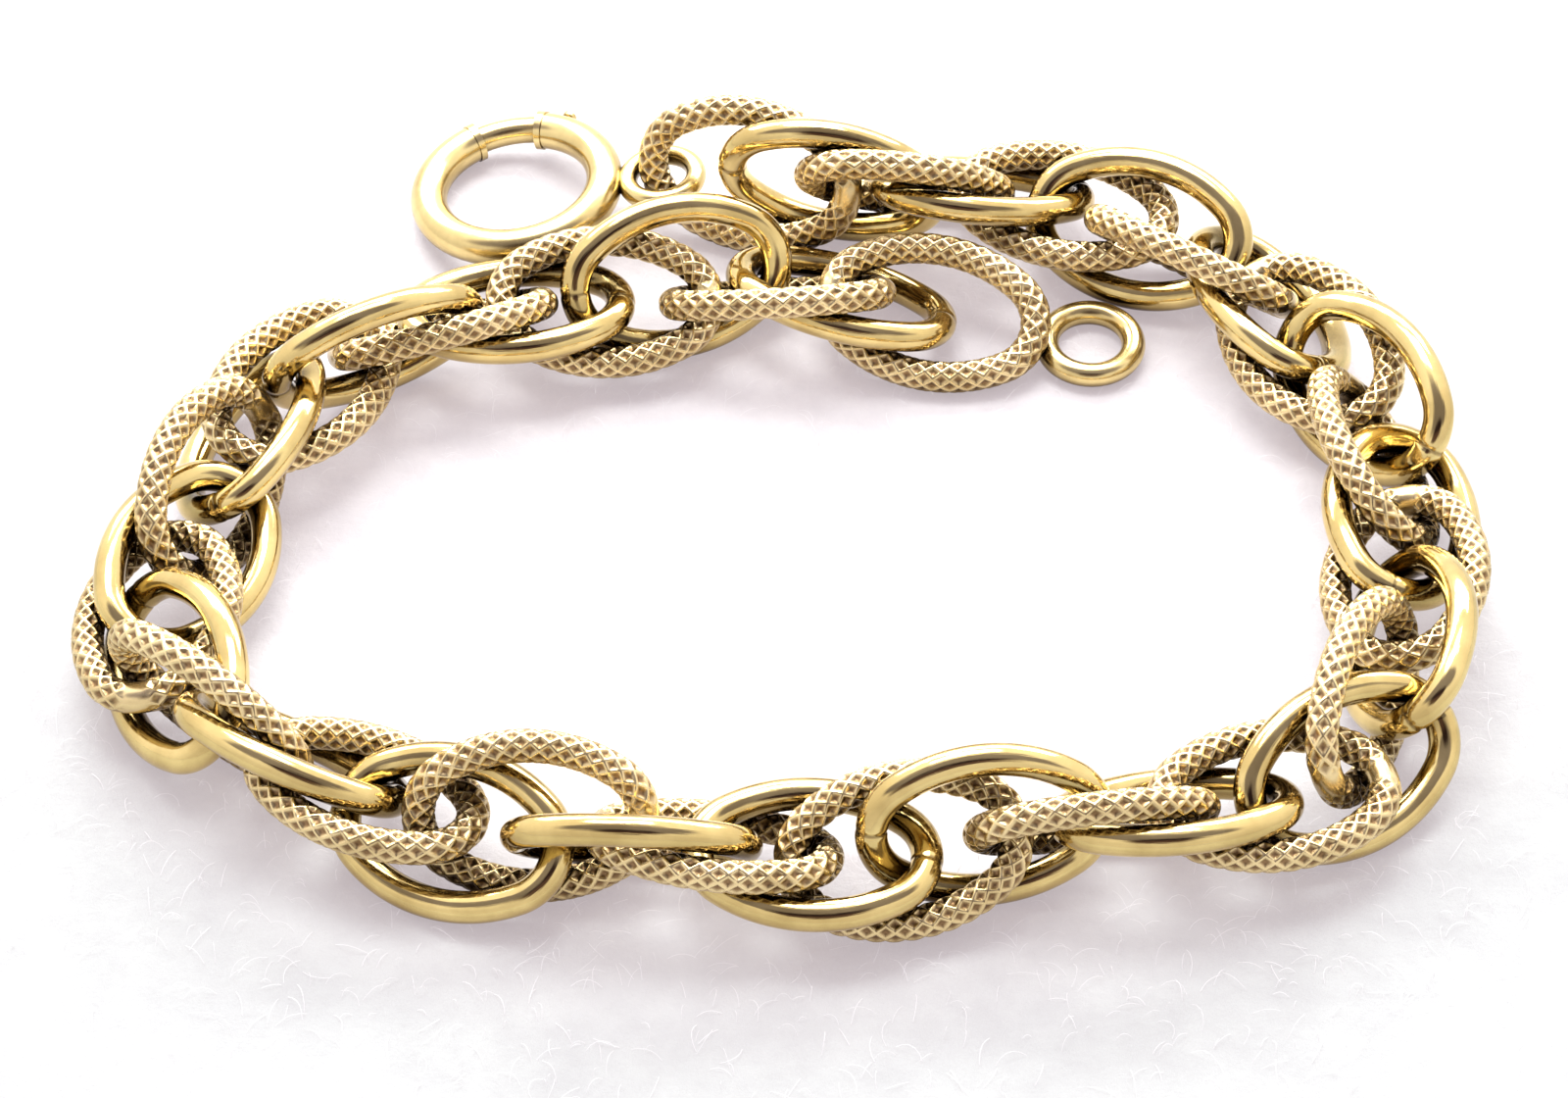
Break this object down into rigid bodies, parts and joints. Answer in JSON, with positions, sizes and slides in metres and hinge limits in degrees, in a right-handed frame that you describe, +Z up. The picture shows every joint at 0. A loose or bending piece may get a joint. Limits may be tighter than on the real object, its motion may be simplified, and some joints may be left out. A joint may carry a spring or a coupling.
{
  "type": "pocket watch chain",
  "caption": "Gold pocket watch chain of interlocked polished and diamond textured oval links, with a bolt ring clasp at one end and a soldered end ring at the other.",
  "frame": {"origin": "middle of the footprint, on the surface the chain lies on", "axes": "+X along the long way of the loop, towards its right end; +Y from the front run to the clasp side; +Z up from the surface"},
  "size_m": [0.0648, 0.052, 0.008],
  "materials": {
    "polished_gold": "polished",
    "textured_gold": "diamond textured, worn bright on the crests",
    "clasp_gold": "polished",
    "spring_steel": "bright"
  },
  "bodies": {
    "clasp": {"bolt_ring_case": "clasp_gold", "bolt_ring_eye": "clasp_gold", "bolt_ring_spring": "spring_steel"},
    "bolt": {"bolt_ring_bolt": "clasp_gold", "bolt_ring_knob": "clasp_gold"},
    "link_01": {"link_01_textured": "textured_gold"},
    "link_02": {"link_02_smooth": "polished_gold"},
    "link_03": {"link_03_textured": "textured_gold"},
    "link_04": {"link_04_smooth": "polished_gold"},
    "link_05": {"link_05_textured": "textured_gold"},
    "link_06": {"link_06_smooth": "polished_gold"},
    "link_07": {"link_07_textured": "textured_gold"},
    "link_08": {"link_08_smooth": "polished_gold"},
    "link_09": {"link_09_textured": "textured_gold"},
    "link_10": {"link_10_smooth": "polished_gold"},
    "link_11": {"link_11_textured": "textured_gold"},
    "link_12": {"link_12_smooth": "polished_gold"},
    "link_13": {"link_13_textured": "textured_gold"},
    "link_14": {"link_14_smooth": "polished_gold"},
    "link_15": {"link_15_textured": "textured_gold"},
    "link_16": {"link_16_smooth": "polished_gold"},
    "link_17": {"link_17_textured": "textured_gold"},
    "link_18": {"link_18_smooth": "polished_gold"},
    "link_19": {"link_19_textured": "textured_gold"},
    "link_20": {"link_20_smooth": "polished_gold"},
    "link_21": {"link_21_textured": "textured_gold"},
    "link_22": {"link_22_smooth": "polished_gold"},
    "link_23": {"link_23_textured": "textured_gold"},
    "link_24": {"link_24_smooth": "polished_gold"},
    "link_25": {"link_25_textured": "textured_gold"},
    "link_26": {"link_26_smooth": "polished_gold"},
    "link_27": {"link_27_textured": "textured_gold"},
    "link_28": {"link_28_smooth": "polished_gold"},
    "link_29": {"link_29_textured": "textured_gold"},
    "link_30": {"link_30_smooth": "polished_gold"},
    "link_31": {"link_31_textured": "textured_gold"},
    "link_32": {"link_32_smooth": "polished_gold"},
    "link_33": {"link_33_textured": "textured_gold"},
    "link_34": {"link_34_smooth": "polished_gold"},
    "link_35": {"link_35_textured": "textured_gold"},
    "link_36": {"link_36_smooth": "polished_gold"},
    "link_37": {"link_37_textured": "textured_gold"},
    "link_38": {"link_38_smooth": "polished_gold"},
    "link_39": {"link_39_textured": "textured_gold"},
    "link_40": {"link_40_smooth": "polished_gold"},
    "link_41": {"link_41_textured": "textured_gold"},
    "link_42": {"link_42_smooth": "polished_gold"},
    "link_43": {"link_43_textured": "textured_gold", "end_ring": "clasp_gold"}
  },
  "joints": [
    {"name": "bolt_slide_round", "type": "hinge", "parent": "clasp", "child": "bolt", "pos_m": [-0.0132, 0.02071, 0.00155], "axis": [0.1279, -0.0644, -0.9897], "range_deg": [0, 40], "stiffness_Nm_per_rad": 0.0006, "springref_deg": -20.05, "deforming": ["bolt_ring_spring"]},
    {"name": "link_01_swing", "type": "hinge", "parent": "clasp", "child": "link_01", "pos_m": [-0.00641, 0.02105, 0.00219], "axis": [-0.0213, -0.0402, 0.999], "range_deg": [-2, 20]},
    {"name": "link_02_swing", "type": "hinge", "parent": "link_01", "child": "link_02", "pos_m": [0.0006, 0.01842, 0.00124], "axis": [0.0972, 0.1275, -0.9871], "range_deg": [-6, 1]},
    {"name": "link_03_swing", "type": "hinge", "parent": "link_02", "child": "link_03", "pos_m": [0.00493, 0.01744, 0.00129], "axis": [-0.0747, 0.0253, -0.9969], "range_deg": [-3, 1]},
    {"name": "link_04_swing", "type": "hinge", "parent": "link_03", "child": "link_04", "pos_m": [0.00797, 0.01967, 0.00352], "axis": [-0.0843, -0.0395, -0.9957], "range_deg": [-6, 0]},
    {"name": "link_05_swing", "type": "hinge", "parent": "link_04", "child": "link_05", "pos_m": [0.01234, 0.01897, 0.00403], "axis": [0.0229, 0.0569, 0.9981], "range_deg": [0, 6]},
    {"name": "link_06_swing", "type": "hinge", "parent": "link_05", "child": "link_06", "pos_m": [0.01501, 0.01623, 0.00276], "axis": [-0.0388, -0.0075, 0.9992], "range_deg": [0, 12]},
    {"name": "link_07_swing", "type": "hinge", "parent": "link_06", "child": "link_07", "pos_m": [0.02137, 0.01454, 0.00196], "axis": [-0.8383, 0.387, 0.3839], "range_deg": [0, 13]},
    {"name": "link_08_swing", "type": "hinge", "parent": "link_07", "child": "link_08", "pos_m": [0.02187, 0.01325, 0.00297], "axis": [-0.1642, -0.0661, -0.9842], "range_deg": [-4, 0]},
    {"name": "link_09_swing", "type": "hinge", "parent": "link_08", "child": "link_09", "pos_m": [0.02492, 0.00855, 0.00223], "axis": [-0.094, -0.1039, 0.9901], "range_deg": [0, 4]},
    {"name": "link_10_swing", "type": "hinge", "parent": "link_09", "child": "link_10", "pos_m": [0.02607, 0.00715, 0.0034], "axis": [0.107, 0.0144, -0.9942], "range_deg": [-14, 0]},
    {"name": "link_11_swing", "type": "hinge", "parent": "link_10", "child": "link_11", "pos_m": [0.02684, 0.00564, 0.00274], "axis": [0.1748, -0.1465, -0.9736], "range_deg": [-20, 0]},
    {"name": "link_12_swing", "type": "hinge", "parent": "link_11", "child": "link_12", "pos_m": [0.02787, -0.00197, 0.0019], "axis": [0.2792, 0.1958, 0.9401], "range_deg": [0, 5]},
    {"name": "link_13_swing", "type": "hinge", "parent": "link_12", "child": "link_13", "pos_m": [0.02863, -0.0052, 0.00235], "axis": [0.0458, -0.0273, -0.9986], "range_deg": [-20, 0]},
    {"name": "link_14_swing", "type": "hinge", "parent": "link_13", "child": "link_14", "pos_m": [0.02821, -0.00725, 0.00415], "axis": [0.0066, 0.0012, 1], "range_deg": [0, 20]},
    {"name": "link_15_swing", "type": "hinge", "parent": "link_14", "child": "link_15", "pos_m": [0.02698, -0.01103, 0.00271], "axis": [0.0375, 0.7764, 0.6291], "range_deg": [0, 14]},
    {"name": "link_16_swing", "type": "hinge", "parent": "link_15", "child": "link_16", "pos_m": [0.02418, -0.01641, 0.00583], "axis": [-0.1387, 0.2152, 0.9667], "range_deg": [0, 20]},
    {"name": "link_17_swing", "type": "hinge", "parent": "link_16", "child": "link_17", "pos_m": [0.02213, -0.0177, 0.00429], "axis": [0.0375, -0.003, -0.9993], "range_deg": [-7, 0]},
    {"name": "link_18_swing", "type": "hinge", "parent": "link_17", "child": "link_18", "pos_m": [0.01813, -0.01805, 0.00309], "axis": [0.0281, -0.3992, -0.9164], "range_deg": [-16, 0]},
    {"name": "link_19_swing", "type": "hinge", "parent": "link_18", "child": "link_19", "pos_m": [0.01635, -0.01895, 0.00273], "axis": [-0.0451, 0.3937, 0.9181], "range_deg": [0, 18]},
    {"name": "link_20_swing", "type": "hinge", "parent": "link_19", "child": "link_20", "pos_m": [0.01104, -0.01939, 0.0022], "axis": [0.6031, 0.785, 0.142], "range_deg": [0, 18]},
    {"name": "link_21_swing", "type": "hinge", "parent": "link_20", "child": "link_21", "pos_m": [0.00521, -0.02191, 0.00301], "axis": [-0.0948, -0.1876, 0.9777], "range_deg": [0, 2]},
    {"name": "link_22_swing", "type": "hinge", "parent": "link_21", "child": "link_22", "pos_m": [0.00243, -0.02078, 0.00199], "axis": [-0.0693, 0.0064, -0.9976], "range_deg": [-7, 0]},
    {"name": "link_23_swing", "type": "hinge", "parent": "link_22", "child": "link_23", "pos_m": [-0.00001, -0.02116, 0.00052], "axis": [0.0145, -0.0113, -0.9998], "range_deg": [-18, 2]},
    {"name": "link_24_swing", "type": "hinge", "parent": "link_23", "child": "link_24", "pos_m": [-0.00281, -0.02165, 0.00285], "axis": [0.0457, 0.0133, -0.9989], "range_deg": [-8, 1]},
    {"name": "link_25_swing", "type": "hinge", "parent": "link_24", "child": "link_25", "pos_m": [-0.00988, -0.02114, 0.00176], "axis": [0.927, 0.1307, -0.3516], "range_deg": [0, 20]},
    {"name": "link_26_swing", "type": "hinge", "parent": "link_25", "child": "link_26", "pos_m": [-0.0144, -0.02165, 0.00116], "axis": [-0.0168, -0.0228, 0.9996], "range_deg": [-2, 0]},
    {"name": "link_27_swing", "type": "hinge", "parent": "link_26", "child": "link_27", "pos_m": [-0.0161, -0.02041, 0.00247], "axis": [-0.033, -0.018, -0.9993], "range_deg": [0, 18]},
    {"name": "link_28_swing", "type": "hinge", "parent": "link_27", "child": "link_28", "pos_m": [-0.01997, -0.01853, 0.00314], "axis": [0.0535, 0.1424, 0.9884], "range_deg": [-9, 0]},
    {"name": "link_29_swing", "type": "hinge", "parent": "link_28", "child": "link_29", "pos_m": [-0.02322, -0.01601, 0.00401], "axis": [-0.1215, -0.0081, -0.9926], "range_deg": [0, 3]},
    {"name": "link_30_swing", "type": "hinge", "parent": "link_29", "child": "link_30", "pos_m": [-0.02799, -0.01306, 0.00278], "axis": [0.9566, -0.2786, -0.0855], "range_deg": [0, 20]},
    {"name": "link_31_swing", "type": "hinge", "parent": "link_30", "child": "link_31", "pos_m": [-0.029, -0.00815, 0.00312], "axis": [0.079, 0.0019, 0.9969], "range_deg": [-11, 0]},
    {"name": "link_32_swing", "type": "hinge", "parent": "link_31", "child": "link_32", "pos_m": [-0.02872, -0.00747, 0.00168], "axis": [0.0986, 0.0508, -0.9938], "range_deg": [0, 5]},
    {"name": "link_33_swing", "type": "hinge", "parent": "link_32", "child": "link_33", "pos_m": [-0.02689, -0.00471, 0.00244], "axis": [-0.2305, -0.0152, -0.973], "range_deg": [0, 3]},
    {"name": "link_34_swing", "type": "hinge", "parent": "link_33", "child": "link_34", "pos_m": [-0.02614, -0.00275, 0.00216], "axis": [0.0659, 0.9633, 0.2601], "range_deg": [-20, 0]},
    {"name": "link_35_swing", "type": "hinge", "parent": "link_34", "child": "link_35", "pos_m": [-0.02359, 0.00752, 0.00256], "axis": [-0.1977, 0.0195, -0.9801], "range_deg": [0, 7]},
    {"name": "link_36_swing", "type": "hinge", "parent": "link_35", "child": "link_36", "pos_m": [-0.01894, 0.00838, 0.00286], "axis": [0.7369, 0.6566, 0.1609], "range_deg": [-20, 0]},
    {"name": "link_37_swing", "type": "hinge", "parent": "link_36", "child": "link_37", "pos_m": [-0.01842, 0.00922, 0.00262], "axis": [0.0752, 0.5897, 0.8041], "range_deg": [-20, 0]},
    {"name": "link_38_swing", "type": "hinge", "parent": "link_37", "child": "link_38", "pos_m": [-0.01508, 0.00876, 0.0033], "axis": [-0.971, 0.0374, 0.236], "range_deg": [-20, 1]},
    {"name": "link_39_swing", "type": "hinge", "parent": "link_38", "child": "link_39", "pos_m": [-0.01265, 0.01144, 0.00291], "axis": [-0.9619, 0.1642, 0.2187], "range_deg": [-20, 1]},
    {"name": "link_40_swing", "type": "hinge", "parent": "link_39", "child": "link_40", "pos_m": [-0.00669, 0.01282, 0.00284], "axis": [0.6535, -0.1384, -0.7442], "range_deg": [-1, 2]},
    {"name": "link_41_swing", "type": "hinge", "parent": "link_40", "child": "link_41", "pos_m": [-0.00083, 0.01323, 0.0018], "axis": [-0.1925, -0.4731, -0.8597], "range_deg": [-1, 20]},
    {"name": "link_42_swing", "type": "hinge", "parent": "link_41", "child": "link_42", "pos_m": [0.00121, 0.01353, -0.00004], "axis": [0.035, 0.3688, 0.9289], "range_deg": [-13, 0]},
    {"name": "link_43_swing", "type": "hinge", "parent": "link_42", "child": "link_43", "pos_m": [0.00597, 0.00878, 0.0006], "axis": [-0.6564, 0.7239, 0.2123], "range_deg": [-20, 0]}
  ]
}
